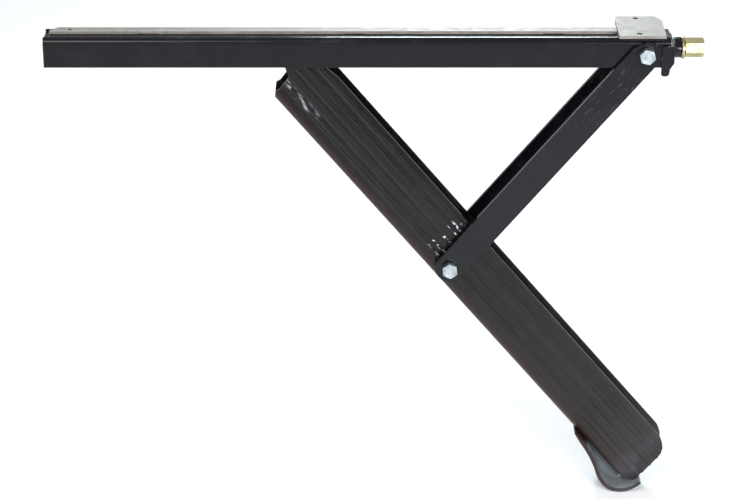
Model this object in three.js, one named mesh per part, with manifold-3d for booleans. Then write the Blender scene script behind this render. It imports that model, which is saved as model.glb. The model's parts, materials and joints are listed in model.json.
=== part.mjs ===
// Crank-down stabilizer jack for a trailer or camper frame, in its half-deployed pose.
// Millimetres, +Z up. The drive screw runs along X with its crank hex at +X; -Y is the front.
// The origin is on the top face of the mounting plate, straight above the screw.
import * as THREE from 'three';
import { mergeVertices } from 'three/addons/utils/BufferGeometryUtils.js';
import Module from 'manifold-3d';

const wasm = await Module();
wasm.setup();

// ---------------------------------------------------------------- driving dimensions
const DEG = Math.PI / 180;
const GAP = 0.3; // clearance between pieces that touch
const RUN = 0.35; // radial clearance of a turning bore

const LINK_LENGTH = 338; // frame pivot to leg pivot
const LINK_ANGLE = 50.6 * DEG; // link below horizontal, at rest
const LEG_ANGLE = 50.2 * DEG; // leg below horizontal, at rest
const NUT_OFFSET = 34; // how far the nut trunnion stands above the leg pivot, across the leg
const NUT_DISTANCE = 313.5; // leg pivot to nut trunnion

const PLATE = { left: -26, right: 26, front: -19.5, rear: 44.5, thickness: 3.5, cut: 7 };
const CHANNEL = { left: -663, right: 31.5, width: 39, height: 34, wall: 2, radius: 7, webLeft: -658 };
const RAIL = { left: -657, width: 12, bevel: 8, middle: 2.5 };
const SCREW_HOLE = 3.3; // radius of the holes for the 1/4 in self-tapping mounting screws
const RAIL_HOLE_X = -634;
const PLATE_HOLE_X = -3;
const PLATE_HOLE_FRONT = -12.5;
const PLATE_HOLE_REAR = 38;

const PIVOT_X = 5; // frame pivot of the link
const AXIS_Z = -PLATE.thickness - CHANNEL.height / 2; // height of the screw and of the frame pivot
const CHANNEL_BOTTOM = -PLATE.thickness - CHANNEL.height;
const CHANNEL_INNER = CHANNEL.width / 2 - CHANNEL.wall;
const INSIDE_TOP = -PLATE.thickness - CHANNEL.wall - 2 * GAP; // highest point inside the channel

const SCREW = { radius: 6.35, left: -661, right: 64 };
const BOLT_RADIUS = 5.5;
const BOLT_HEAD = { flats: 16, height: 7 };
const WASHER = { radius: 9.4, thickness: 1.6 };

const LEG = { inner: 13.6, wall: 2.2, bottom: -20.5, top: 50.5, corner: 7, start: -326, end: 359 };
const RIB = { height: 1.2, half: 2.4, centres: [-2, 6, 18.5, 31, 37.5, 44] };
const EAR_RADIUS = 9.2;
const TRUNNION_RADIUS = 6;

const BAR = { inner: 19.9, thickness: 5, half: 16.5, frameEnd: 15 };
const FOOT = { width: 52, thickness: 4, web: 3 };
const NUT = { half: 12.8, height: 23, length: 26, rise: 2.4 };

const HEX_FLATS = 19.05; // 3/4 in crank socket
const BRACKET = { ear: 21.5, thickness: 2.6, plate: 4, top: -11.5, tabRight: 30.5, tabBottom: -47 };
const BLOCK = { left: -9, right: 31, corner: 3.2 };
const COLLAR = { start: 36.3, length: 8.4, radius: 11.6, pin: 2 };
const INNER_COLLAR = { start: BLOCK.left - 10.2, length: 9, radius: 10.5, pin: 1.5 };
const CUP = { length: 3.6, radius: 12.8 };
const COUPLING = { end: 70, turn: 0.28 };
const SLIP = 0.15; // radial clearance of a ring pressed or pinned on a shaft

const FLAT = 24; // sides of a round piece

// ---------------------------------------------------------------- materials
function finish(color, roughness, metalness) {
  return new THREE.MeshStandardMaterial({ color, roughness, metalness });
}

const BLACK = finish(0x15161a, 0.3, 0.1);
const LEG_BLACK = finish(0x1a1817, 0.38, 0.1);
const GREY_PLATE = finish(0xb0a9a2, 0.55, 0.4);
const ZINC = finish(0xd6dde0, 0.3, 0.9);
const YELLOW_ZINC = finish(0xc9b25c, 0.32, 0.9);
const STEEL = finish(0x84878a, 0.4, 0.85);
const BRONZE = finish(0x9c7440, 0.42, 0.85);

// ---------------------------------------------------------------- shape helpers
const ALONG_X = new THREE.Matrix4().makeBasis(
  new THREE.Vector3(0, 1, 0),
  new THREE.Vector3(0, 0, 1),
  new THREE.Vector3(1, 0, 0),
);
const ALONG_Y = new THREE.Matrix4().makeBasis(
  new THREE.Vector3(1, 0, 0),
  new THREE.Vector3(0, 0, 1),
  new THREE.Vector3(0, -1, 0),
);

function extrude(shape, depth, curveSegments = 6) {
  return new THREE.ExtrudeGeometry(shape, { depth, curveSegments, bevelEnabled: false });
}

// A shape drawn in Y and Z, from x = from to x = to.
function prismX(shape, from, to, curveSegments) {
  return extrude(shape, to - from, curveSegments).applyMatrix4(ALONG_X).translate(from, 0, 0);
}

// A shape drawn in X and Z, from y = from to y = to.
function prismY(shape, from, to, curveSegments) {
  return extrude(shape, to - from, curveSegments).applyMatrix4(ALONG_Y).translate(0, to, 0);
}

// A shape drawn in X and Y, from z = from to z = to.
function prismZ(shape, from, to, curveSegments) {
  return extrude(shape, to - from, curveSegments).translate(0, 0, from);
}

function polygon(points) {
  return new THREE.Shape(points.map(([a, b]) => new THREE.Vector2(a, b)));
}

function circlePoints(radius, sides = FLAT, a = 0, b = 0) {
  const points = [];
  for (let i = 0; i < sides; i += 1) {
    const angle = (2 * Math.PI * i) / sides;
    points.push(new THREE.Vector2(a + radius * Math.cos(angle), b + radius * Math.sin(angle)));
  }
  return points;
}

function disc(radius, a = 0, b = 0, sides = FLAT) {
  return new THREE.Shape(circlePoints(radius, sides, a, b));
}

function withHoles(shape, holes) {
  for (const [radius, a, b] of holes) {
    shape.holes.push(new THREE.Path(circlePoints(radius, FLAT, a, b)));
  }
  return shape;
}

function ring(outer, inner, a = 0, b = 0) {
  return withHoles(disc(outer, a, b), [[inner, a, b]]);
}

function hexagon(flats, a = 0, b = 0, turn = Math.PI / 6) {
  const points = [];
  for (let i = 0; i < 6; i += 1) {
    const angle = turn + (Math.PI * i) / 3;
    const radius = flats / Math.sqrt(3);
    points.push([a + radius * Math.cos(angle), b + radius * Math.sin(angle)]);
  }
  return polygon(points);
}

function rectangle(a0, b0, a1, b1) {
  return polygon([[a0, b0], [a1, b0], [a1, b1], [a0, b1]]);
}

// ---------------------------------------------------------------- cut and join
function solid(geometry) {
  const bare = geometry.index ? geometry.toNonIndexed() : geometry.clone();
  bare.deleteAttribute('normal');
  bare.deleteAttribute('uv');
  const merged = mergeVertices(bare, 1e-4);
  return new wasm.Manifold(new wasm.Mesh({
    numProp: 3,
    vertProperties: merged.attributes.position.array,
    triVerts: new Uint32Array(merged.index.array),
  }));
}

function geometryOf(manifold) {
  const mesh = manifold.getMesh();
  const geometry = new THREE.BufferGeometry();
  geometry.setAttribute('position', new THREE.BufferAttribute(new Float32Array(mesh.vertProperties), 3));
  geometry.setIndex(new THREE.BufferAttribute(new Uint32Array(mesh.triVerts), 1));
  geometry.computeVertexNormals();
  return geometry;
}

function cut(base, ...tools) {
  return geometryOf(tools.reduce((left, tool) => left.subtract(solid(tool)), solid(base)));
}

function join(...pieces) {
  return geometryOf(pieces.slice(1).reduce((whole, piece) => whole.add(solid(piece)), solid(pieces[0])));
}

function common(first, second) {
  return geometryOf(solid(first).intersect(solid(second)));
}

// ---------------------------------------------------------------- scene graph
const jack = new THREE.Group();
const frame = new THREE.Group();
const screw = new THREE.Group();
const link = new THREE.Group();
const leg = new THREE.Group();
const nut = new THREE.Group();
jack.add(frame, screw, link, leg, nut);

const pivot = new THREE.Vector3(PIVOT_X, 0, AXIS_Z);
const middle = new THREE.Vector3(
  PIVOT_X - LINK_LENGTH * Math.cos(LINK_ANGLE),
  0,
  AXIS_Z - LINK_LENGTH * Math.sin(LINK_ANGLE),
);
const nutAlong = -Math.sqrt(NUT_DISTANCE ** 2 - NUT_OFFSET ** 2);

screw.position.set(0, 0, AXIS_Z);
link.position.copy(middle);
link.rotation.y = -LINK_ANGLE; // local X runs from the leg pivot to the frame pivot
leg.position.copy(middle);
leg.rotation.y = LEG_ANGLE; // local X runs down the leg, local Z across it
nut.position.set(nutAlong, 0, NUT_OFFSET).applyEuler(leg.rotation).add(middle);

function add(group, name, geometry, look) {
  const mesh = new THREE.Mesh(geometry, look);
  mesh.name = name;
  group.add(mesh);
}

// ---------------------------------------------------------------- frame: channel and mounting
// An inverted U with rounded top corners, open at the bottom.
function channelSection() {
  const half = CHANNEL.width / 2;
  const top = -PLATE.thickness - GAP;
  const inner = half - CHANNEL.wall;
  const r = CHANNEL.radius;
  const ri = r - CHANNEL.wall;
  const shape = new THREE.Shape();
  shape.moveTo(half, CHANNEL_BOTTOM);
  shape.lineTo(half, top - r);
  shape.absarc(half - r, top - r, r, 0, Math.PI / 2, false);
  shape.lineTo(-half + r, top);
  shape.absarc(-half + r, top - r, r, Math.PI / 2, Math.PI, false);
  shape.lineTo(-half, CHANNEL_BOTTOM);
  shape.lineTo(-inner, CHANNEL_BOTTOM);
  shape.lineTo(-inner, top - CHANNEL.wall - ri);
  shape.absarc(-inner + ri, top - CHANNEL.wall - ri, ri, Math.PI, Math.PI / 2, true);
  shape.lineTo(inner - ri, top - CHANNEL.wall);
  shape.absarc(inner - ri, top - CHANNEL.wall - ri, ri, Math.PI / 2, 0, true);
  shape.lineTo(inner, CHANNEL_BOTTOM);
  return shape;
}

function channel() {
  const half = CHANNEL.width / 2;
  const top = -PLATE.thickness;
  const body = prismX(channelSection(), CHANNEL.left, CHANNEL.right, 4);
  const shortWeb = prismX(
    rectangle(-half + CHANNEL.radius, top - 2 * CHANNEL.wall, half - CHANNEL.radius, top + 1),
    CHANNEL.left - 1,
    CHANNEL.webLeft,
  );
  const pivotHole = prismY(disc(BOLT_RADIUS + GAP, PIVOT_X, AXIS_Z), -half - 1, half + 1);
  const plateHole = prismZ(disc(SCREW_HOLE, PLATE_HOLE_X, PLATE_HOLE_FRONT), top - 5, top + 1);
  const railHole = prismZ(disc(SCREW_HOLE, RAIL_HOLE_X, RAIL.middle), top - 5, top + 1);
  return cut(body, shortWeb, pivotHole, plateHole, railHole);
}

// The wide grey plate over the crank end, with both rear corners cut.
function mountPlate() {
  const p = PLATE;
  const shape = polygon([
    [p.left, p.front], [p.right, p.front], [p.right, p.rear - 2 * p.cut], [p.right - p.cut, p.rear],
    [p.left + 1, p.rear], [p.left - 1, p.rear - 2 * p.cut],
  ]);
  const holes = [[SCREW_HOLE, PLATE_HOLE_X, PLATE_HOLE_FRONT], [SCREW_HOLE, PLATE_HOLE_X, PLATE_HOLE_REAR]];
  return prismZ(withHoles(shape, holes), -p.thickness, 0);
}

// The flat bar along the top of the channel, level with the plate and a little to the rear.
function mountRail() {
  const front = RAIL.middle - RAIL.width / 2;
  const rear = RAIL.middle + RAIL.width / 2;
  const right = PLATE.left - 1 - GAP;
  const shape = polygon([
    [RAIL.left, front], [right, front], [right, rear], [RAIL.left + RAIL.bevel, rear],
  ]);
  return prismZ(withHoles(shape, [[SCREW_HOLE, RAIL_HOLE_X, RAIL.middle]]), -PLATE.thickness, 0);
}

// A folded bracket: a plate across the channel's end, and an ear with a stop tab down each side.
function endBracket() {
  const half = CHANNEL.width / 2;
  const outer = half + GAP + BRACKET.thickness;
  const { top } = BRACKET;
  const right = CHANNEL.right + GAP + BRACKET.plate;
  const side = polygon([
    [BRACKET.ear, top], [right, top], [right, -32], [BRACKET.tabRight + 1, -38.5],
    [BRACKET.tabRight, BRACKET.tabBottom + 2], [BRACKET.tabRight - 2, BRACKET.tabBottom],
    [BRACKET.ear + 2, BRACKET.tabBottom], [BRACKET.ear, BRACKET.tabBottom + 2],
  ]);
  const block = prismY(side, -outer, outer);
  const hollow = prismX(rectangle(-half - GAP, -60, half + GAP, top + 1), 0, CHANNEL.right + GAP);
  const bore = prismX(disc(SCREW.radius + RUN, 0, AXIS_Z), 0, right + 1);
  return cut(block, hollow, bore);
}

// A section that fills the channel from the given height up, clear of its rounded corners.
function channelFilling(bottom) {
  const half = CHANNEL_INNER - GAP;
  const shoulder = INSIDE_TOP - BLOCK.corner;
  return polygon([
    [-half, bottom], [half, bottom], [half, shoulder], [half - BLOCK.corner, INSIDE_TOP],
    [-half + BLOCK.corner, INSIDE_TOP], [-half, shoulder],
  ]);
}

// The block that carries the screw's bearing and takes the two pivot bolts.
function thrustBlock() {
  const half = CHANNEL_INNER - GAP;
  const top = INSIDE_TOP;
  const body = prismX(channelFilling(CHANNEL_BOTTOM + 1.5), BLOCK.left, BLOCK.right);
  const bore = prismX(disc(SCREW.radius + RUN, 0, AXIS_Z), BLOCK.left - 1, BLOCK.right + 1);
  const threads = [-1, 1].map((side) => {
    const ends = [side * 8, side * (half + 1)].sort((a, b) => a - b);
    return prismY(disc(BOLT_RADIUS + 0.2, PIVOT_X, AXIS_Z), ends[0], ends[1]);
  });
  return cut(body, bore, ...threads, plateScrewPocket(top));
}

// A pocket under the plate's front hole, so that a mounting screw can pass into the block.
function plateScrewPocket(top) {
  return prismZ(disc(SCREW_HOLE, PLATE_HOLE_X, PLATE_HOLE_FRONT), top - 6, top + 1);
}

function tailPlate() {
  const shape = channelFilling(CHANNEL_BOTTOM + 0.5);
  return prismX(withHoles(shape, [[SCREW.radius + 3.3, 0, AXIS_Z]]), CHANNEL.left + 0.5, CHANNEL.left + 3.5);
}

function tailBushing() {
  const shape = ring(SCREW.radius + 3, SCREW.radius + RUN, 0, AXIS_Z);
  return prismX(shape, CHANNEL.left + 0.5, CHANNEL.left + 5);
}

// Each pivot bolt screws into the block from its own side, clear of the drive screw.
function pivotBolt(side) {
  const face = BAR.inner + BAR.thickness + GAP + WASHER.thickness;
  const shank = [side * 8.3, side * (face + 1)].sort((a, b) => a - b);
  const head = [side * face, side * (face + BOLT_HEAD.height)].sort((a, b) => a - b);
  return join(
    prismY(disc(BOLT_RADIUS, PIVOT_X, AXIS_Z), ...shank),
    prismY(hexagon(BOLT_HEAD.flats, PIVOT_X, AXIS_Z), ...head),
  );
}

function boltWasher(side, x, z) {
  const face = BAR.inner + BAR.thickness + GAP / 2;
  const ends = [side * face, side * (face + WASHER.thickness - GAP / 2)].sort((a, b) => a - b);
  return prismY(ring(WASHER.radius, BOLT_RADIUS + GAP, x, z), ...ends);
}

add(frame, 'channel', channel(), BLACK);
add(frame, 'mount_plate', mountPlate(), GREY_PLATE);
add(frame, 'mount_rail', mountRail(), GREY_PLATE);
add(frame, 'end_bracket', endBracket(), BLACK);
add(frame, 'thrust_block', thrustBlock(), STEEL);
add(frame, 'tail_plate', tailPlate(), BLACK);
add(frame, 'tail_bushing', tailBushing(), BRONZE);
for (const [name, side] of [['front', -1], ['rear', 1]]) {
  add(frame, `pivot_bolt_${name}`, pivotBolt(side), ZINC);
  add(frame, `pivot_washer_${name}`, boltWasher(side, PIVOT_X, AXIS_Z), BLACK);
}

// ---------------------------------------------------------------- drive screw and crank coupling
function leadScrew() {
  const pinHole = prismZ(disc(COLLAR.pin + GAP, COLLAR.start + COLLAR.length / 2, 0), -9, 9);
  return cut(prismX(disc(SCREW.radius), SCREW.left, SCREW.right), pinHole, innerPinHole());
}

function innerPinHole() {
  return prismZ(disc(INNER_COLLAR.pin + GAP, INNER_COLLAR.start + INNER_COLLAR.length / 2, 0), -20, 20);
}

function driveCollar() {
  const end = COLLAR.start + COLLAR.length;
  const body = prismX(ring(COLLAR.radius, SCREW.radius + SLIP), COLLAR.start + GAP, end);
  return cut(body, prismZ(disc(COLLAR.pin + GAP, COLLAR.start + COLLAR.length / 2, 0), -20, 20));
}

function collarPin() {
  const middleX = COLLAR.start + COLLAR.length / 2;
  return prismZ(disc(COLLAR.pin, middleX, 0, 12), -COLLAR.radius + GAP, COLLAR.radius - GAP);
}

function cupWasher() {
  const start = COLLAR.start + COLLAR.length + GAP;
  return prismX(ring(CUP.radius, SCREW.radius + SLIP), start, start + CUP.length);
}

// The crank hex: a blind socket over the end of the screw.
function hexCoupling() {
  const start = COLLAR.start + COLLAR.length + GAP + CUP.length + GAP;
  const body = prismX(hexagon(HEX_FLATS, 0, 0, Math.PI / 2 + COUPLING.turn), start, COUPLING.end);
  return cut(body, prismX(disc(SCREW.radius + SLIP), start - 1, SCREW.right + GAP));
}

function innerCollar() {
  const body = prismX(
    ring(INNER_COLLAR.radius, SCREW.radius + SLIP),
    INNER_COLLAR.start,
    INNER_COLLAR.start + INNER_COLLAR.length,
  );
  return cut(body, innerPinHole());
}

function innerPin() {
  const middleX = INNER_COLLAR.start + INNER_COLLAR.length / 2;
  return prismZ(disc(INNER_COLLAR.pin, middleX, 0, 12), -INNER_COLLAR.radius - 1, INNER_COLLAR.radius + 1);
}

function thrustWasher() {
  return prismX(ring(11, SCREW.radius + SLIP), BLOCK.left - 0.9, BLOCK.left - GAP);
}

function tailClip() {
  return prismX(ring(9, SCREW.radius + SLIP), CHANNEL.left + 5.3, CHANNEL.left + 6.8);
}

add(screw, 'lead_screw', leadScrew(), STEEL);
add(screw, 'drive_collar', driveCollar(), BLACK);
add(screw, 'drive_collar_pin', collarPin(), STEEL);
add(screw, 'cup_washer', cupWasher(), YELLOW_ZINC);
add(screw, 'hex_coupling', hexCoupling(), YELLOW_ZINC);
add(screw, 'inner_collar', innerCollar(), STEEL);
add(screw, 'inner_collar_pin', innerPin(), STEEL);
add(screw, 'thrust_washer', thrustWasher(), BRONZE);
add(screw, 'tail_clip', tailClip(), STEEL);

// ---------------------------------------------------------------- link bars and the leg pivot
// A flat bar with a round end at the leg and a trimmed end at the frame.
function linkBar(side) {
  const { half, frameEnd } = BAR;
  const shape = new THREE.Shape();
  shape.moveTo(0, -half);
  shape.lineTo(LINK_LENGTH - 4, -half);
  shape.lineTo(LINK_LENGTH + frameEnd * 0.62, -frameEnd * 0.72);
  shape.absarc(LINK_LENGTH, 0, frameEnd, -Math.PI / 4, Math.PI / 4, false);
  shape.lineTo(LINK_LENGTH + frameEnd * 0.62, frameEnd * 0.72);
  shape.lineTo(LINK_LENGTH - 4, half);
  shape.lineTo(0, half);
  shape.absarc(0, 0, half, Math.PI / 2, 1.5 * Math.PI, false);
  const holes = [[BOLT_RADIUS + RUN, 0, 0], [BOLT_RADIUS + RUN, LINK_LENGTH, 0]];
  const ends = [side * BAR.inner, side * (BAR.inner + BAR.thickness)].sort((a, b) => a - b);
  return prismY(withHoles(shape, holes), ends[0], ends[1], 12);
}

function middleBolt() {
  const face = BAR.inner + BAR.thickness + GAP + WASHER.thickness;
  return join(
    prismY(disc(BOLT_RADIUS), -face - 1, face + 11),
    prismY(hexagon(BOLT_HEAD.flats, 0, 0, LINK_ANGLE + Math.PI / 6), -face - BOLT_HEAD.height, -face),
  );
}

function middleNut() {
  const face = BAR.inner + BAR.thickness + GAP + WASHER.thickness + GAP;
  const shape = withHoles(hexagon(BOLT_HEAD.flats + 0.5), [[BOLT_RADIUS + SLIP, 0, 0]]);
  return prismY(shape, face, face + 8);
}

// The spacer fills the room between a bar and the ribs of the leg.
function middleSpacer(side) {
  const start = LEG.inner + LEG.wall + RIB.height + GAP;
  const ends = [side * start, side * (BAR.inner - GAP)].sort((a, b) => a - b);
  return prismY(ring(12.5, BOLT_RADIUS + GAP), ...ends);
}

for (const [name, side] of [['front', -1], ['rear', 1]]) {
  add(link, `link_bar_${name}`, linkBar(side), BLACK);
  add(link, `leg_washer_${name}`, boltWasher(side, 0, 0), BLACK);
  add(link, `leg_spacer_${name}`, middleSpacer(side), STEEL);
}
add(link, 'leg_bolt', middleBolt(), ZINC);
add(link, 'leg_bolt_nut', middleNut(), ZINC);

// ---------------------------------------------------------------- leg and foot
// Points up the outside of one flange, from the bottom corner to the top edge, with its ribs.
function flangeOutside() {
  const outer = LEG.inner + LEG.wall;
  const points = [];
  for (const centre of RIB.centres) {
    points.push([outer, centre - RIB.half]);
    points.push([outer + RIB.height * 0.8, centre - RIB.half * 0.55]);
    points.push([outer + RIB.height, centre]);
    points.push([outer + RIB.height * 0.8, centre + RIB.half * 0.55]);
    points.push([outer, centre + RIB.half]);
  }
  points.push([outer, LEG.top]);
  return points;
}

// A ribbed U, open at the top, drawn across the leg.
function legSection() {
  const outer = LEG.inner + LEG.wall;
  const floor = LEG.bottom + LEG.wall;
  const innerCorner = LEG.corner - LEG.wall;
  const right = flangeOutside();
  const left = right.map(([y, z]) => [-y, z]).reverse();
  const shape = new THREE.Shape();
  shape.moveTo(-outer + LEG.corner, LEG.bottom);
  shape.lineTo(outer - LEG.corner, LEG.bottom);
  shape.absarc(outer - LEG.corner, LEG.bottom + LEG.corner, LEG.corner, -Math.PI / 2, 0, false);
  right.forEach(([y, z]) => shape.lineTo(y, z));
  shape.lineTo(LEG.inner, LEG.top);
  shape.lineTo(LEG.inner, floor + innerCorner);
  shape.absarc(LEG.inner - innerCorner, floor + innerCorner, innerCorner, 0, -Math.PI / 2, true);
  shape.lineTo(-LEG.inner + innerCorner, floor);
  shape.absarc(-LEG.inner + innerCorner, floor + innerCorner, innerCorner, -Math.PI / 2, Math.PI, true);
  shape.lineTo(-LEG.inner, LEG.top);
  left.forEach(([y, z]) => shape.lineTo(y, z));
  shape.absarc(-outer + LEG.corner, LEG.bottom + LEG.corner, LEG.corner, Math.PI, 1.5 * Math.PI, false);
  return shape;
}

// The side view of the leg: a stepped upper end, an ear round the trunnion, a rounded lower end.
function legSide() {
  const { bottom, top, end } = LEG;
  const below = bottom - 1;
  const above = top + 1;
  const shape = new THREE.Shape();
  shape.moveTo(-284, below);
  shape.lineTo(335, below);
  shape.quadraticCurveTo(352, bottom + 2, end + 3, -9);
  shape.lineTo(end, 14);
  shape.lineTo(end - 3, 30);
  shape.quadraticCurveTo(end - 6, above - 2, 326, above);
  shape.lineTo(nutAlong + 60, above);
  shape.lineTo(nutAlong + 4, NUT_OFFSET + EAR_RADIUS * 0.94);
  shape.absarc(nutAlong, NUT_OFFSET, EAR_RADIUS, Math.PI / 2, 1.25 * Math.PI, false);
  shape.lineTo(-306, 12.5);
  shape.lineTo(-294, 8);
  shape.lineTo(-290, -9);
  shape.lineTo(-291, -14);
  return shape;
}

function legChannel() {
  const body = prismX(legSection(), LEG.start, LEG.end + 6, 4);
  const side = prismY(legSide(), -30, 30, 8);
  const pivotHole = prismY(disc(BOLT_RADIUS + RUN), -30, 30);
  const trunnionHole = prismY(disc(TRUNNION_RADIUS + RUN, nutAlong, NUT_OFFSET), -30, 30);
  return cut(common(body, side), pivotHole, trunnionHole);
}

// A curved shoe under the lower end: a strip that leaves the leg, bulges and curls up, with a
// web along its middle.
function footPlate() {
  const t = FOOT.thickness;
  const start = LEG.bottom - GAP;
  const shape = new THREE.Shape();
  shape.moveTo(262, start);
  shape.lineTo(282, start);
  shape.quadraticCurveTo(296, start - 1, 316, -29);
  shape.quadraticCurveTo(338, -39, 350, -31);
  shape.quadraticCurveTo(363, -22, 362.5, -3);
  shape.lineTo(362.5 + t, -3);
  shape.quadraticCurveTo(368, -25, 353, -35);
  shape.quadraticCurveTo(338, -44.5, 314, -33);
  shape.quadraticCurveTo(294, start - t - 1.5, 276, start - t);
  shape.lineTo(262, start - 1.5);
  const web = new THREE.Shape();
  web.moveTo(284, start);
  web.lineTo(352, start);
  web.lineTo(352, -33);
  web.quadraticCurveTo(338, -41.8, 315, -31);
  web.quadraticCurveTo(295, start - 3.3, 278, start - 2);
  return join(
    prismY(shape, -FOOT.width / 2, FOOT.width / 2, 8),
    prismY(web, -FOOT.web / 2, FOOT.web / 2, 8),
  );
}

function middleSleeve() {
  const half = LEG.inner - GAP;
  return prismY(ring(8.5, BOLT_RADIUS + RUN), -half, half);
}

add(leg, 'leg', legChannel(), LEG_BLACK);
add(leg, 'foot_plate', footPlate(), LEG_BLACK);
add(leg, 'leg_sleeve', middleSleeve(), STEEL);

// ---------------------------------------------------------------- travelling nut
// The nut carries both trunnions. Its bore is a tall slot, because the nut rises and falls
// a little on the screw while the leg swings.
function driveNut() {
  const { half, height, length, rise } = NUT;
  const body = prismX(rectangle(-half, -height / 2, half, height / 2), -length / 2, length / 2);
  const trunnion = prismY(disc(TRUNNION_RADIUS), -CHANNEL_INNER + 0.5, CHANNEL_INNER - 0.5);
  const reach = SCREW.radius + RUN;
  const slot = new THREE.Shape();
  slot.moveTo(reach, -rise);
  slot.lineTo(reach, rise);
  slot.absarc(0, rise, reach, 0, Math.PI, false);
  slot.lineTo(-reach, -rise);
  slot.absarc(0, -rise, reach, Math.PI, 2 * Math.PI, false);
  return cut(join(body, trunnion), prismX(slot, -20, 20, 12));
}

add(nut, 'drive_nut', driveNut(), BRONZE);

export default jack;
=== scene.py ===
import json
import math

import bmesh
import bpy
from mathutils import Matrix, Vector


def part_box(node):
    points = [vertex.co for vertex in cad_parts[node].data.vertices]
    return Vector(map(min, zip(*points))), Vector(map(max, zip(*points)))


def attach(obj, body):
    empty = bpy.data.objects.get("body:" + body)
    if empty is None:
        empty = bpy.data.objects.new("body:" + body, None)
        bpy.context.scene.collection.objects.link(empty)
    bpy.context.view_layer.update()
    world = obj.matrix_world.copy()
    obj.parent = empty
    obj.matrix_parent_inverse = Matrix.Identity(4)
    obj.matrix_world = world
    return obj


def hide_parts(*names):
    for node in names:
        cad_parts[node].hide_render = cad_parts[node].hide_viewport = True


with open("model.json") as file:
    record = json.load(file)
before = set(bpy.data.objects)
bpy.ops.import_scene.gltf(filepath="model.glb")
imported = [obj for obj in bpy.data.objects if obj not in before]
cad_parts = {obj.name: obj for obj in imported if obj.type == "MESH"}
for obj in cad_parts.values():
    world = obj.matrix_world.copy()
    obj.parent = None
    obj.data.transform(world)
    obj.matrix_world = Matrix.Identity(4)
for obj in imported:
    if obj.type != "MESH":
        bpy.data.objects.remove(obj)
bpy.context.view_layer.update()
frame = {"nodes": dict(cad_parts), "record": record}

MM = 0.001

# ---------------------------------------------------------------- dimensions from the model, in mm
AXIS_Z = -20.5  # height of the screw and of the frame pivot
PIVOT_X = 5.0
LINK_LENGTH = 338.0
LINK_ANGLE = math.radians(50.6)
LEG_ANGLE = math.radians(50.2)
MIDDLE = Vector((  # the bolt through the middle of the leg
    PIVOT_X - LINK_LENGTH * math.cos(LINK_ANGLE),
    0.0,
    AXIS_Z - LINK_LENGTH * math.sin(LINK_ANGLE),
))

# Distances from the middle plane, measured along Y
BAR_FACE = 24.9
WASHER_TOP = 26.8
HEAD_TOP = 33.8
NUT_FACES = (27.1, 35.1)
PIVOT_SHANK_END = 8.3
LEG_SHANK_END = -37.8

BOLT_FLATS = 16.0
BOLT_RADIUS = 5.5
NUT_FLATS = 16.5
NUT_BORE = 5.65
WASHER_BORE = 5.8
WASHER_RADIUS = 9.4
RING_SIDES = 56

CRANK_FLATS = 19.05
CRANK_FACES = (48.9, 70.0)
COLLAR_BORE = 6.5
BUSHING_BORE = 6.7

THREAD_PITCH = 3.2
THREAD_ROOT = 5.0
THREAD_OUTER = 6.33
THREAD_ENDS = (-640.0, -24.0)
SCREW_ENDS = (-661.0, 64.0)
TAIL_JOURNAL = 6.0

# ---------------------------------------------------------------- floor height and camera, in metres
FLOOR_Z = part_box("foot_plate")[0][2] - 0.0005
FLOOR_HALF = 30.0
CAMERA_AT = Vector((-0.3073, -2.6709, 0.9765))
CAMERA_TO = Vector((-0.3073, -0.019, -0.2601))


def make_camera():
    data = bpy.data.cameras.new("camera")
    data.sensor_width = 36.0
    data.lens = 126.1
    data.clip_start = 0.05
    data.clip_end = 60.0
    camera = bpy.data.objects.new("camera", data)
    camera.location = CAMERA_AT
    camera.rotation_euler = (CAMERA_TO - CAMERA_AT).to_track_quat("-Z", "Y").to_euler()
    bpy.context.collection.objects.link(camera)
    bpy.context.scene.camera = camera


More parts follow.
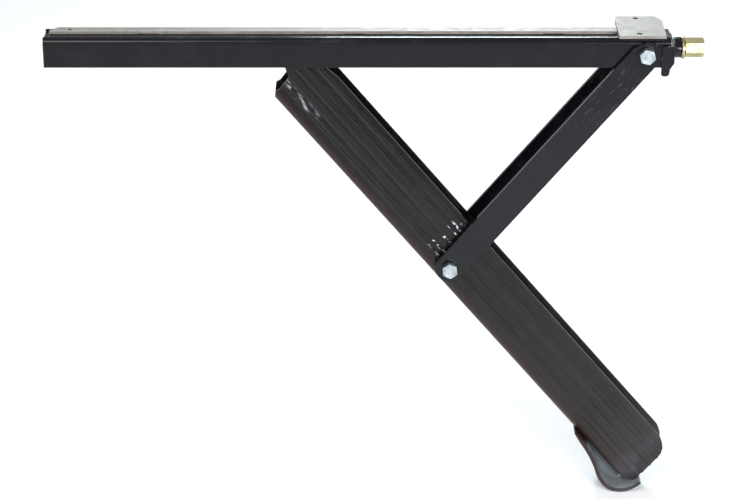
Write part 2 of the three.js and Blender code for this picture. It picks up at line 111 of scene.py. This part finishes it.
# ---------------------------------------------------------------- materials
class Nodes:
    """A small builder for one material's nodes."""

    def __init__(self, name):
        self.material = bpy.data.materials.new(name)
        self.material.use_nodes = True
        self.tree = self.material.node_tree
        self.shader = self.tree.nodes["Principled BSDF"]
        self.place = self.tree.nodes.new("ShaderNodeTexCoord").outputs["Object"]

    def link(self, value, socket):
        if isinstance(value, bpy.types.NodeSocket):
            self.tree.links.new(value, socket)
        else:
            socket.default_value = value

    def set(self, **values):
        for name, value in values.items():
            self.link(value, self.shader.inputs[name.replace("_", " ")])

    def noise(self, scale, detail, roughness, place=None):
        node = self.tree.nodes.new("ShaderNodeTexNoise")
        node.inputs["Scale"].default_value = scale
        node.inputs["Detail"].default_value = detail
        node.inputs["Roughness"].default_value = roughness
        self.link(place or self.place, node.inputs["Vector"])
        return node.outputs["Fac"]

    def cells(self, scale):
        """One random colour for each cell of a Voronoi pattern."""
        node = self.tree.nodes.new("ShaderNodeTexVoronoi")
        node.inputs["Scale"].default_value = scale
        self.link(self.place, node.inputs["Vector"])
        return node.outputs["Color"]

    def grey(self, colour):
        node = self.tree.nodes.new("ShaderNodeRGBToBW")
        self.link(colour, node.inputs[0])
        return node.outputs[0]

    def ramp(self, value, low, high):
        """Rises smoothly from 0 at low to 1 at high, which may be the smaller number."""
        node = self.tree.nodes.new("ShaderNodeMapRange")
        node.interpolation_type = "SMOOTHSTEP"
        node.inputs["From Min"].default_value = low
        node.inputs["From Max"].default_value = high
        self.link(value, node.inputs["Value"])
        return node.outputs["Result"]

    def math(self, kind, first, second=0.0):
        node = self.tree.nodes.new("ShaderNodeMath")
        node.operation = kind
        self.link(first, node.inputs[0])
        self.link(second, node.inputs[1])
        return node.outputs[0]

    def times(self, first, *others):
        for other in others:
            first = self.math("MULTIPLY", first, other)
        return first

    def most(self, first, *others):
        for other in others:
            first = self.math("MAXIMUM", first, other)
        return first

    def mix(self, share, first, second):
        """Two colours mixed: share 0 gives the first, share 1 the second."""
        node = self.tree.nodes.new("ShaderNodeMix")
        node.data_type = "RGBA"
        self.link(share, node.inputs["Factor"])
        self.link(first, node.inputs[6])
        self.link(second, node.inputs[7])
        return node.outputs[2]

    def blend(self, share, first, second):
        """Two numbers mixed in the same way."""
        node = self.tree.nodes.new("ShaderNodeMix")
        node.data_type = "FLOAT"
        self.link(share, node.inputs["Factor"])
        self.link(first, node.inputs[2])
        self.link(second, node.inputs[3])
        return node.outputs[0]

    def axes(self, place=None):
        node = self.tree.nodes.new("ShaderNodeSeparateXYZ")
        self.link(place or self.place, node.inputs[0])
        return node.outputs[0], node.outputs[1], node.outputs[2]

    def turned(self, centre, angle, stretch=(1.0, 1.0, 1.0)):
        """Coordinates with their origin at centre, turned about Y by angle, then stretched."""
        move = self.tree.nodes.new("ShaderNodeVectorMath")
        move.operation = "SUBTRACT"
        self.link(self.place, move.inputs[0])
        move.inputs[1].default_value = centre
        turn = self.tree.nodes.new("ShaderNodeMapping")
        turn.inputs["Rotation"].default_value = (0.0, angle, 0.0)
        self.link(move.outputs[0], turn.inputs["Vector"])
        scale = self.tree.nodes.new("ShaderNodeVectorMath")
        scale.operation = "MULTIPLY"
        self.link(turn.outputs[0], scale.inputs[0])
        scale.inputs[1].default_value = stretch
        return scale.outputs[0]

    def mark(self, name="edge"):
        """The corner attribute that the mesh carries under this name."""
        node = self.tree.nodes.new("ShaderNodeAttribute")
        node.attribute_name = name
        return node.outputs["Fac"]

    def bump(self, height, strength, distance):
        node = self.tree.nodes.new("ShaderNodeBump")
        node.inputs["Strength"].default_value = strength
        node.inputs["Distance"].default_value = distance
        self.link(height, node.inputs["Height"])
        return node.outputs[0]


def scaled(colour, factor):
    """The colour with its channels multiplied and held at 1 or less."""
    return tuple(min(1.0, channel * factor) for channel in colour[:3]) + (1,)


def black_paint():
    """Gloss black paint: orange peel, dust, and a thin worn line along the edges."""
    n = Nodes("black_paint")
    along_link = n.turned(MIDDLE * MM, LINK_ANGLE, (9.0, 60.0, 60.0))
    dust = n.ramp(n.noise(34.0, 6.0, 0.62), 0.46, 0.74)
    speck = n.ramp(n.noise(900.0, 2.0, 0.5), 0.66, 0.74)
    brushed = n.ramp(n.noise(9.0, 5.0, 0.7, place=along_link), 0.56, 0.7)
    x, _, z = n.axes()
    near_pivot = n.times(n.ramp(x, -0.11, -0.03), n.ramp(z, -0.13, -0.06), n.ramp(z, -0.03, -0.046))
    scuff = n.times(brushed, near_pivot)
    chipped = n.times(n.mark(), n.ramp(n.noise(120.0, 4.0, 0.6), 0.5, 0.66))
    colour = n.mix(n.times(dust, 0.4), (0.0035, 0.0037, 0.0055, 1), (0.011, 0.011, 0.0135, 1))
    colour = n.mix(n.times(speck, 0.25), colour, (0.09, 0.09, 0.1, 1))
    colour = n.mix(n.times(scuff, 0.5), colour, (0.12, 0.12, 0.13, 1))
    colour = n.mix(n.times(chipped, 0.55), colour, (0.34, 0.35, 0.37, 1))
    rough = n.blend(dust, 0.16, 0.3)
    rough = n.blend(scuff, rough, 0.5)
    peel = n.noise(420.0, 2.0, 0.5)
    n.set(Base_Color=colour, Roughness=rough, IOR=1.5, Specular_IOR_Level=0.3,
          Normal=n.bump(peel, 0.1, 0.0003))
    return n.material


def leg_paint():
    """Brownish black paint: painted glints on the ribs where the bars cross, a painted brown floor
    reflection along the lower edge, a grey foot end.

    s runs down the leg and u across it, in metres from the middle bolt.
    """
    n = Nodes("leg_paint")
    local = n.turned(MIDDLE * MM, -LEG_ANGLE)
    s, y, u = n.axes(local)
    streaky = n.turned(MIDDLE * MM, -LEG_ANGLE, (6.0, 70.0, 70.0))
    streak = n.ramp(n.noise(10.0, 5.0, 0.65, place=streaky), 0.5, 0.72)
    blotch = n.ramp(n.noise(26.0, 6.0, 0.6), 0.42, 0.7)
    speck = n.ramp(n.noise(800.0, 2.0, 0.5), 0.64, 0.74)
    # painted reflection: a reddish-brown band along the leg's lower edge, standing in for the brown floor
    # reflected there
    low = n.ramp(u, -0.007, -0.019)
    foot = n.ramp(s, 0.25, 0.33)
    sole = n.ramp(s, 0.315, 0.345)
    crest = n.ramp(n.math("ABSOLUTE", y), 0.01645, 0.0169)
    fine = n.ramp(n.noise(230.0, 2.0, 0.5), 0.56, 0.6)
    # painted highlight: pale glints on the rib crests beside the link bars, standing in for light caught on
    # the ribs
    by_bars = n.times(n.ramp(s, -0.044, -0.036), n.ramp(s, -0.006, -0.014), n.ramp(u, -0.004, 0.002))
    painted_rib_glints = n.times(by_bars, crest, fine)
    upper_end = n.times(n.ramp(s, -0.225, -0.25), n.ramp(u, -0.0035, -0.001), n.ramp(u, 0.0075, 0.004))
    along = n.turned(MIDDLE * MM, -LEG_ANGLE, (60.0, 240.0, 240.0))
    scuff = n.times(upper_end, n.ramp(n.noise(1.0, 5.0, 0.7, place=along), 0.5, 0.66))
    chipped = n.times(n.mark(), n.ramp(n.noise(90.0, 4.0, 0.6), 0.5, 0.64))
    lower = n.ramp(s, 0.02, 0.24)
    colour = n.mix(n.times(blotch, 0.5), (0.0045, 0.0038, 0.004, 1), (0.0105, 0.0085, 0.0085, 1))
    colour = n.mix(n.times(lower, 0.7), colour, (0.017, 0.0135, 0.0132, 1))
    colour = n.mix(n.times(low, 0.85), colour, (0.03, 0.0135, 0.0095, 1))
    colour = n.mix(n.times(streak, 0.3), colour, (0.04, 0.035, 0.035, 1))
    colour = n.mix(n.times(foot, 0.6), colour, (0.036, 0.0295, 0.033, 1))
    colour = n.mix(n.times(sole, blotch, 0.5), colour, (0.085, 0.078, 0.09, 1))
    colour = n.mix(n.times(speck, 0.3), colour, (0.1, 0.09, 0.09, 1))
    # light blue-grey on the foot's inner, upward-facing surfaces and its web, chosen by face direction
    inner_grey = n.mix(blotch, (0.15, 0.165, 0.18, 1), (0.27, 0.285, 0.3, 1))
    colour = n.mix(n.mark("inner"), colour, inner_grey)
    # pale marks: real wear (chipped edges, the scuff at the upper end) together with the painted highlight
    # glints on the ribs
    wear_and_glints = n.most(n.times(painted_rib_glints, 0.8), n.times(scuff, 0.5), n.times(chipped, 0.3))
    colour = n.mix(wear_and_glints, colour, (0.62, 0.66, 0.72, 1))
    worn = n.ramp(s, -0.2, 0.02)
    rough = n.blend(worn, 0.1, n.blend(blotch, 0.28, 0.38))
    rough = n.blend(foot, rough, 0.46)
    n.set(Base_Color=colour, Roughness=rough, IOR=1.5, Specular_IOR_Level=0.3,
          Normal=n.bump(n.noise(380.0, 3.0, 0.5), 0.12, 0.0003))
    return n.material


def grey_plate():
    """Dull galvanised steel: soft spangle, warm grey mottling, grit and a painted highlight along its edges.
    """
    n = Nodes("grey_plate")
    spangle = n.grey(n.cells(95.0))
    mottle = n.ramp(n.noise(85.0, 7.0, 0.68), 0.36, 0.68)
    blotch = n.ramp(n.noise(24.0, 5.0, 0.6), 0.4, 0.65)
    grit = n.ramp(n.noise(1100.0, 2.0, 0.5), 0.56, 0.72)
    colour = n.mix(mottle, (0.2, 0.17, 0.15, 1), (0.33, 0.295, 0.265, 1))
    colour = n.mix(n.times(spangle, 0.35), colour, (0.28, 0.255, 0.235, 1))
    colour = n.mix(n.times(blotch, 0.4), colour, (0.22, 0.19, 0.175, 1))
    colour = n.mix(n.times(grit, 0.4), colour, (0.14, 0.125, 0.115, 1))
    # painted highlight: every bevelled edge is lightened towards pale grey
    colour = n.mix(n.times(n.mark(), 0.5), colour, (0.74, 0.73, 0.72, 1))
    rough = n.blend(mottle, 0.42, 0.62)
    n.set(Base_Color=colour, Roughness=rough, Metallic=0.25, Specular_IOR_Level=0.3,
          Normal=n.bump(n.noise(600.0, 3.0, 0.6), 0.25, 0.0003))
    return n.material


def plated(name, light, dark, rough_low, rough_high, metallic=1.0):
    """Plated or bare metal: cloudy tone, fine grain, darker in places and a painted highlight brightening
    its edges.
    """
    n = Nodes(name)
    cloud = n.ramp(n.noise(160.0, 5.0, 0.6), 0.36, 0.68)
    grain = n.ramp(n.noise(1400.0, 2.0, 0.5), 0.4, 0.7)
    spot = n.ramp(n.noise(420.0, 4.0, 0.7), 0.62, 0.72)
    colour = n.mix(cloud, light, dark)
    colour = n.mix(n.times(spot, 0.45), colour, scaled(dark, 0.45))
    # painted highlight: the bevelled edges are lightened beyond the light tone
    colour = n.mix(n.times(n.mark(), 0.5), colour, scaled(light, 1.25))
    rough = n.blend(cloud, rough_low, rough_high)
    rough = n.blend(n.times(grain, 0.35), rough, rough_high)
    n.set(Base_Color=colour, Roughness=rough, Metallic=metallic,
          Normal=n.bump(n.noise(900.0, 3.0, 0.6), 0.15, 0.0002))
    return n.material


def floor_material():
    n = Nodes("studio_floor")
    tone = n.ramp(n.noise(1.5, 3.0, 0.5), 0.3, 0.7)
    n.set(Base_Color=n.mix(tone, (0.93, 0.93, 0.93, 1), (0.95, 0.95, 0.95, 1)), Roughness=0.9)
    return n.material


LOOKS = {
    "black_paint": black_paint(),
    "leg_paint": leg_paint(),
    "grey_plate": grey_plate(),
    "zinc": plated("zinc", (0.5, 0.55, 0.57, 1), (0.27, 0.31, 0.33, 1), 0.3, 0.46, metallic=0.9),
    "yellow_zinc": plated("yellow_zinc", (0.45, 0.39, 0.21, 1), (0.3, 0.25, 0.12, 1), 0.3, 0.44),
    "steel": plated("steel", (0.4, 0.41, 0.42, 1), (0.24, 0.245, 0.25, 1), 0.26, 0.46),
    "bronze": plated("bronze", (0.56, 0.36, 0.17, 1), (0.36, 0.24, 0.12, 1), 0.3, 0.46),
}
NODE_SLOT = {subpart["node"]: subpart["material_slot"] for subpart in frame["record"]["subparts"]}
BODIES = frame["record"]["behaviour"]["bodies"]
NODE_BODY = {node: body for body, nodes in BODIES.items() for node in nodes}


# ---------------------------------------------------------------- mesh helpers
FOOT_START = 0.285  # in metres down the leg from its middle bolt
FOOT_CURL = 0.34
WEB_HALF = 0.0017


def mark_corners(mesh, name, chosen):
    """Adds a corner attribute: 1 on the polygons for which chosen is true, and 0 elsewhere."""
    values = [0.0] * len(mesh.loops)
    for polygon in mesh.polygons:
        if chosen(polygon):
            for corner in polygon.loop_indices:
                values[corner] = 1.0
    mesh.attributes.new(name, "FLOAT", "CORNER").data.foreach_set("value", values)


def is_bevel(polygon):
    """The bevel gives its polygons the second of the mesh's two material places."""
    return polygon.material_index == 1


def is_inner(polygon):
    """True on the foot's inner surface and its web, which the leg paint colours light blue-grey."""
    across = Vector((math.sin(LEG_ANGLE), 0, math.cos(LEG_ANGLE)))
    down = Vector((math.cos(LEG_ANGLE), 0, -math.sin(LEG_ANGLE)))
    offset = polygon.center - MIDDLE * MM
    along = offset.dot(down)
    if along <= FOOT_START:
        return False
    on_web = abs(offset.y) < WEB_HALF
    towards_leg = polygon.normal.dot(across) > 0.25
    inside_curl = along > FOOT_CURL and polygon.normal.dot(down) < -0.5
    return on_web or towards_leg or inside_curl


def finish_piece(name, mesh, node, bevel=0.5, segments=2, limit=28.0, slot=None, shows=(), weigh=True):
    """Bevels the mesh, marks the bevels as edges, smooths it and puts it on its node's body."""
    slot = slot or NODE_SLOT[node]
    piece = bpy.data.objects.new(name, mesh)
    bpy.context.collection.objects.link(piece)
    mesh.materials.clear()
    mesh.materials.append(LOOKS[slot])
    mesh.materials.append(LOOKS[slot])
    for polygon in mesh.polygons:
        polygon.use_smooth = True
        polygon.material_index = 0
    if bevel:
        edges = piece.modifiers.new("bevel", "BEVEL")
        edges.width = bevel * MM
        edges.segments = segments
        edges.limit_method = "ANGLE"
        edges.angle_limit = math.radians(limit)
        edges.material = 1
        edges.use_clamp_overlap = True
    if weigh:
        weighted = piece.modifiers.new("normals", "WEIGHTED_NORMAL")
        weighted.keep_sharp = False
        weighted.weight = 60
    graph = bpy.context.evaluated_depsgraph_get()
    evaluated = piece.evaluated_get(graph)
    baked = bpy.data.meshes.new_from_object(evaluated, preserve_all_data_layers=True, depsgraph=graph)
    piece.modifiers.clear()
    piece.data = baked
    mark_corners(baked, "edge", is_bevel)
    for polygon in baked.polygons:
        polygon.material_index = 0
    while len(baked.materials) > 1:
        baked.materials.pop()
    if node == "foot_plate":
        mark_corners(baked, "inner", is_inner)
    baked.name = name
    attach(piece, NODE_BODY[node])
    for shown in shows:
        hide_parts(shown)
    return piece


def cleaned(node):
    """The node's mesh as a bmesh with merged points and flat faces joined."""
    work = bmesh.new()
    work.from_mesh(frame["nodes"][node].data)
    bmesh.ops.remove_doubles(work, verts=work.verts, dist=2e-6)
    bmesh.ops.dissolve_limit(work, angle_limit=math.radians(0.4), verts=work.verts, edges=work.edges,
                             use_dissolve_boundaries=False)
    return work


def refine(node, bevel=0.5, segments=2, limit=28.0, weigh=True):
    """The node's own solid with its edges bevelled."""
    work = cleaned(node)
    mesh = bpy.data.meshes.new(node + "_fine")
    work.to_mesh(mesh)
    work.free()
    return finish_piece(node + "_fine", mesh, node, bevel, segments, limit, shows=(node,), weigh=weigh)


def mesh_of(work, name, matrix):
    """The bmesh, drawn in mm, as a mesh placed by matrix (also in mm) and turned to metres."""
    bmesh.ops.transform(work, matrix=Matrix.Scale(MM, 4) @ matrix, verts=work.verts)
    bmesh.ops.recalc_face_normals(work, faces=work.faces)
    mesh = bpy.data.meshes.new(name)
    work.to_mesh(mesh)
    work.free()
    return mesh


def skin(rings, close=False):
    """A surface through rings of points: close joins the last to the first, or else both ends are capped."""
    work = bmesh.new()
    rows = [[work.verts.new(point) for point in ring] for ring in rings]
    count = len(rings[0])
    spans = len(rows) if close else len(rows) - 1
    for i in range(spans):
        first, second = rows[i], rows[(i + 1) % len(rows)]
        for j in range(count):
            k = (j + 1) % count
            work.faces.new((first[j], first[k], second[k], second[j]))
    if not close:
        work.faces.new(list(reversed(rows[0])))
        work.faces.new(rows[-1])
    return work


def turned_ring(profile):
    """A closed profile of (radius, height) points turned about Z."""
    rings = []
    for i in range(RING_SIDES):
        angle = 2 * math.pi * i / RING_SIDES
        rings.append([(r * math.cos(angle), r * math.sin(angle), h) for r, h in profile])
    return skin(rings, close=True)


ALONG_Y = {-1: Matrix.Rotation(math.radians(90), 4, "X"), 1: Matrix.Rotation(math.radians(-90), 4, "X")}
ALONG_X = Matrix.Rotation(math.radians(90), 4, "Y")


def hex_radius(angle, flats):
    """Distance from the middle of a hexagon to its side, a flat being at angle 0."""
    turn = (angle + math.pi / 6) % (math.pi / 3) - math.pi / 6
    return flats / 2 / math.cos(turn)


def hex_head(flats, low, high, shank=None, tip=None, dish=0.0, turn=0.0, bore=None):
    """A hexagon from low to high, its corners turned off at both ends, or at the top only over a shank.

    The shank reaches down to tip. The top may have a dish, and a bore may go right through.
    """
    sides = 48
    angles = [2 * math.pi * i / sides + math.pi / 6 for i in range(sides)]
    inner = flats / 2 * 0.97  # radius of the round face that is left at an end
    slope = math.tan(math.radians(30))
    point = 0.8
    collar = 0.5

    def hex_ring(base, sign):
        ring = []
        for angle in angles:
            r = hex_radius(angle, flats)
            height = base - sign * (r - inner) * slope
            ring.append((r * math.cos(angle + turn), r * math.sin(angle + turn), height))
        return ring

    def round_ring(radius, height):
        return [(radius * math.cos(a + turn), radius * math.sin(a + turn), height) for a in angles]

    rings = []
    if shank:
        rings.append(round_ring(shank - point, tip))
        rings.append(round_ring(shank, tip + point))
        rings.append(round_ring(shank, low))
        rings.append(round_ring(inner - 0.2, low))
        rings.append(round_ring(inner, low + collar))
        rings.append(hex_ring(low + collar, 0))
    else:
        if bore:
            rings.append(round_ring(bore, low))
        rings.append(round_ring(inner, low))
        rings.append(hex_ring(low, -1))
    rings.append(hex_ring(high, 1))
    rings.append(round_ring(inner, high))
    if dish:
        rings.append(round_ring(inner * 0.8, high))
        rings.append(round_ring(inner * 0.7, high - dish))
    if bore:
        rings.append(round_ring(bore, high))
        return skin(rings, close=True)
    return skin(rings)


# ---------------------------------------------------------------- pieces
BEAD_SQUASH = 0.45
BEAD_SIDES = 12


def weld_bead(name, node, points, size, up):
    """A weld bead: overlapping ripples along the points, in mm."""
    path = [Vector(p) for p in points]
    steps = []
    for a, b in zip(path, path[1:]):
        count = max(2, int((b - a).length / (size * 0.33)))
        steps.extend(a.lerp(b, i / count) for i in range(count))
    steps.append(path[-1])
    rings = []
    for i, point in enumerate(steps):
        ahead = steps[min(i + 1, len(steps) - 1)] - steps[max(i - 1, 0)]
        ahead.normalize()
        side = ahead.cross(up).normalized()
        lift = side.cross(ahead).normalized()
        ripple = 1.0 + 0.16 * math.sin(i * 2.1) + 0.05 * math.sin(i * 0.7)
        taper = min(1.0, 0.35 + 0.3 * min(i, len(steps) - 1 - i))
        radius = size * 0.5 * ripple * taper
        ring = []
        for j in range(BEAD_SIDES):
            angle = 2 * math.pi * j / BEAD_SIDES
            outwards = side * radius * math.cos(angle)
            ring.append(point + outwards + lift * radius * BEAD_SQUASH * math.sin(angle))
        rings.append(ring)
    mesh = mesh_of(skin(rings), name, Matrix.Identity(4))
    return finish_piece(name, mesh, node, bevel=0, slot="black_paint")


def bolt(name, node, side, x, z, shank_end, turn):
    """A hex bolt along Y with its head on the given side; distances count towards that side."""
    work = hex_head(BOLT_FLATS, WASHER_TOP, HEAD_TOP, shank=BOLT_RADIUS, tip=shank_end, dish=0.5, turn=turn)
    place = Matrix.Translation((x, 0, z)) @ ALONG_Y[side]
    return finish_piece(name, mesh_of(work, name, place), node, bevel=0.3, limit=24, shows=(node,))


def washer(node, side, x, z):
    """A punched washer: rolled over on its outer face, sharper on its inner one."""
    low, high = BAR_FACE + 0.15, WASHER_TOP - 0.3
    profile = [
        (WASHER_BORE, low + 0.15), (WASHER_BORE + 0.15, low),
        (WASHER_RADIUS - 0.1, low), (WASHER_RADIUS, low + 0.2),
        (WASHER_RADIUS, high - 0.5), (WASHER_RADIUS - 0.3, high - 0.12), (WASHER_RADIUS - 0.7, high),
        (WASHER_BORE + 0.25, high), (WASHER_BORE, high - 0.2),
    ]
    place = Matrix.Translation((x, 0, z)) @ ALONG_Y[side]
    mesh = mesh_of(turned_ring(profile), node + "_fine", place)
    return finish_piece(node + "_fine", mesh, node, bevel=0, shows=(node,))


def along_x_ring(node, profile):
    """A turned piece on the screw's axis: profile holds (radius, x) points."""
    place = Matrix.Translation((0, 0, AXIS_Z)) @ ALONG_X
    mesh = mesh_of(turned_ring(profile), node + "_fine", place)
    return finish_piece(node + "_fine", mesh, node, bevel=0.0, shows=(node,))


def add_journal(work, x0, x1, radius):
    """Adds a plain round stretch of the screw, its rims turned off, to the bmesh."""
    sides = 40
    angles = [2 * math.pi * k / sides for k in range(sides)]
    rings = []
    for x, r in ((x0, radius - 0.8), (x0 + 0.8, radius), (x1 - 0.5, radius), (x1, radius - 0.5)):
        rings.append([(x, r * math.cos(angle), r * math.sin(angle)) for angle in angles])
    part = skin(rings)
    journal = bpy.data.meshes.new("journal")
    part.to_mesh(journal)
    part.free()
    work.from_mesh(journal)
    bpy.data.meshes.remove(journal)


def lead_screw():
    """The drive screw: a plain journal at each end and a trapezoidal thread between them."""
    start, end = THREAD_ENDS
    sides = 20
    profile = [
        (0.0, THREAD_ROOT),
        (0.34 * THREAD_PITCH, THREAD_ROOT),
        (0.5 * THREAD_PITCH, THREAD_OUTER),
        (0.84 * THREAD_PITCH, THREAD_OUTER),
    ]
    turns = int((end - start) / THREAD_PITCH) - 1
    work = bmesh.new()
    rows = []
    for i in range(turns * sides + 1):
        angle = 2 * math.pi * i / sides
        base = start + THREAD_PITCH * i / sides
        across, up = math.cos(angle), math.sin(angle)
        rows.append([work.verts.new((base + dx, r * across, r * up)) for dx, r in profile])
    for i in range(len(rows) - 1):
        for j in range(3):
            work.faces.new((rows[i][j], rows[i][j + 1], rows[i + 1][j + 1], rows[i + 1][j]))
        if i + sides < len(rows) - 1:
            work.faces.new((rows[i][3], rows[i + sides][0], rows[i + sides + 1][0], rows[i + 1][3]))
    add_journal(work, SCREW_ENDS[0], start + 1.5, TAIL_JOURNAL)
    add_journal(work, end - 2.0, SCREW_ENDS[1], THREAD_OUTER)
    mesh = mesh_of(work, "lead_screw_fine", Matrix.Translation((0, 0, AXIS_Z)))
    return finish_piece("lead_screw_fine", mesh, "lead_screw", bevel=0, shows=("lead_screw",))


make_camera()

# Corners that the welds fill, as distances from the middle plane and heights, in mm
PLATE_CORNER = (19.1, -4.6)
RAIL_CORNER = (3.9, -3.7)
PLATE_BEAD = 2.6
RAIL_BEAD = 1.6
RAIL_BEAD_LENGTH = 25
for label, side in (("front", -1), ("rear", 1)):
    line = [(x, side * PLATE_CORNER[0], PLATE_CORNER[1]) for x in (-25, 0, 25)]
    weld_bead(f"weld_plate_{label}", "mount_plate", line, PLATE_BEAD, up=Vector((0, side * 0.6, 0.8)))
for label, start in (("left", -560), ("middle", -330), ("right", -110)):
    line = [(x, -RAIL_CORNER[0], RAIL_CORNER[1]) for x in (start, start + RAIL_BEAD_LENGTH)]
    weld_bead(f"weld_rail_{label}", "mount_rail", line, RAIL_BEAD, up=Vector((0, -0.6, 0.8)))

REFINED = {
    "channel": {"bevel": 0.7, "limit": 24.0},
    "mount_plate": {"bevel": 0.6},
    "mount_rail": {"bevel": 0.5},
    "end_bracket": {"bevel": 0.7},
    "thrust_block": {"bevel": 0.6},
    "tail_plate": {"bevel": 0.5},
    "leg_sleeve": {"bevel": 0.4},
    "leg": {"bevel": 0.45, "segments": 3, "limit": 24.0, "weigh": False},
    "foot_plate": {"bevel": 0.8, "segments": 3, "limit": 40.0},
    "link_bar_front": {"bevel": 0.8, "segments": 3},
    "link_bar_rear": {"bevel": 0.8, "segments": 3},
    "leg_spacer_front": {"bevel": 0.4},
    "leg_spacer_rear": {"bevel": 0.4},
    "drive_nut": {"bevel": 0.6},
    "drive_collar_pin": {"bevel": 0.3},
    "inner_collar_pin": {"bevel": 0.3},
}
for node, edges in REFINED.items():
    refine(node, **edges)
lead_screw()

for label, side in (("front", -1), ("rear", 1)):
    name = f"pivot_bolt_{label}"
    bolt(name + "_fine", name, side, PIVOT_X, AXIS_Z, PIVOT_SHANK_END, turn=0.25)
    washer(f"pivot_washer_{label}", side, PIVOT_X, AXIS_Z)
    washer(f"leg_washer_{label}", side, MIDDLE.x, MIDDLE.z)
bolt("leg_bolt_fine", "leg_bolt", -1, MIDDLE.x, MIDDLE.z, LEG_SHANK_END, turn=0.1)

nut = mesh_of(
    hex_head(NUT_FLATS, *NUT_FACES, bore=NUT_BORE, turn=0.3),
    "leg_bolt_nut_fine",
    Matrix.Translation((MIDDLE.x, 0, MIDDLE.z)) @ ALONG_Y[1],
)
finish_piece("leg_bolt_nut_fine", nut, "leg_bolt_nut", bevel=0.3, limit=24, shows=("leg_bolt_nut",))

# Profiles of the turned pieces on the screw: (radius, x) in mm
TURNED = {
    "drive_collar": [
        (COLLAR_BORE, 36.7), (11.1, 36.7), (11.6, 37.3),
        (11.6, 43.9), (11.1, 44.6), (COLLAR_BORE, 44.6),
    ],
    "inner_collar": [
        (COLLAR_BORE, -19.2), (10.0, -19.2), (10.5, -18.6),
        (10.5, -11.8), (10.0, -11.2), (COLLAR_BORE, -11.2),
    ],
    "thrust_washer": [
        (COLLAR_BORE, -9.9), (10.8, -9.9), (11.0, -9.6), (10.8, -9.3), (COLLAR_BORE, -9.3),
    ],
    "tail_clip": [
        (COLLAR_BORE, -657.7), (8.7, -657.7), (9.0, -657.3),
        (9.0, -656.5), (8.7, -656.2), (COLLAR_BORE, -656.2),
    ],
    "tail_bushing": [
        (BUSHING_BORE, -662.5), (9.0, -662.5), (9.35, -662.1),
        (9.35, -658.4), (9.0, -658.0), (BUSHING_BORE, -658.0),
    ],
    "cup_washer": [
        (COLLAR_BORE, 45.4), (9.5, 45.1), (12.3, 45.0), (12.8, 45.5), (12.8, 48.0),
        (12.3, 48.6), (11.2, 48.6), (10.6, 47.4), (9.6, 46.9), (COLLAR_BORE, 46.9),
    ],
}
for node, profile in TURNED.items():
    along_x_ring(node, profile)
coupling = mesh_of(
    hex_head(CRANK_FLATS, *CRANK_FACES, dish=0.6, turn=0.28),
    "hex_coupling_fine",
    Matrix.Translation((0, 0, AXIS_Z)) @ ALONG_X,
)
finish_piece("hex_coupling_fine", coupling, "hex_coupling", bevel=0.4, limit=24, shows=("hex_coupling",))


# ---------------------------------------------------------------- floor and light
def box_light(name, at, to, width, height, power, colour=(1, 1, 1)):
    """A rectangular light of the given size and power, in metres and watts, aimed at a point."""
    data = bpy.data.lights.new(name, "AREA")
    data.shape = "RECTANGLE"
    data.size = width
    data.size_y = height
    data.energy = power
    data.color = colour
    light = bpy.data.objects.new(name, data)
    light.location = at
    light.rotation_euler = (Vector(to) - Vector(at)).to_track_quat("-Z", "Y").to_euler()
    bpy.context.collection.objects.link(light)


def make_floor():
    """A pale plane just under the foot, wide enough to fill every view."""
    work = bmesh.new()
    bmesh.ops.create_grid(work, x_segments=2, y_segments=2, size=FLOOR_HALF)
    mesh = bpy.data.meshes.new("studio_floor")
    work.to_mesh(mesh)
    work.free()
    mesh.materials.append(floor_material())
    floor = bpy.data.objects.new("studio_floor", mesh)
    floor.location = (0, 0, FLOOR_Z)
    bpy.context.collection.objects.link(floor)


def make_world():
    """White all round, half as bright overhead as near the horizon."""
    world = bpy.data.worlds.new("studio")
    world.use_nodes = True
    nodes = world.node_tree.nodes
    links = world.node_tree.links
    background = nodes["Background"]
    background.inputs["Color"].default_value = (1, 1, 1, 1)
    direction = nodes.new("ShaderNodeTexCoord")
    parts = nodes.new("ShaderNodeSeparateXYZ")
    fade = nodes.new("ShaderNodeMapRange")
    fade.interpolation_type = "SMOOTHSTEP"
    for key, number in (("From Min", 0.2), ("From Max", 0.38), ("To Min", 1.0), ("To Max", 0.5)):
        fade.inputs[key].default_value = number
    links.new(direction.outputs["Generated"], parts.inputs[0])
    links.new(parts.outputs[2], fade.inputs["Value"])
    links.new(fade.outputs["Result"], background.inputs["Strength"])
    bpy.context.scene.world = world


make_floor()
make_world()
box_light("key", (-1.4, -2.4, 2.6), (-0.3, 0, -0.3), 1.4, 1.4, 40)
box_light("fill", (1.8, -2.0, 1.2), (-0.3, 0, -0.3), 1.2, 1.2, 8)
box_light("band", (-0.11, 1.75, 1.0), (-0.15, 0, 0), 0.52, 0.5, 30, (0.8, 0.93, 1.0))
box_light("rib_strip", (0.42, -1.03, 0.05), (-0.35, -0.017, -0.1), 0.4, 0.16, 9, (0.9, 0.95, 1.0))
box_light("left_strip", (-1.5, -0.45, 0.36), (-0.1, 0, -0.15), 0.5, 0.3, 6)
box_light("edge_strip", (0.45, -1.6, 0.3), (0.0, 0, 0), 0.5, 0.3, 3, (0.92, 0.96, 1.0))

bpy.context.scene.view_settings.view_transform = "Standard"
bpy.context.scene.view_settings.look = "None"
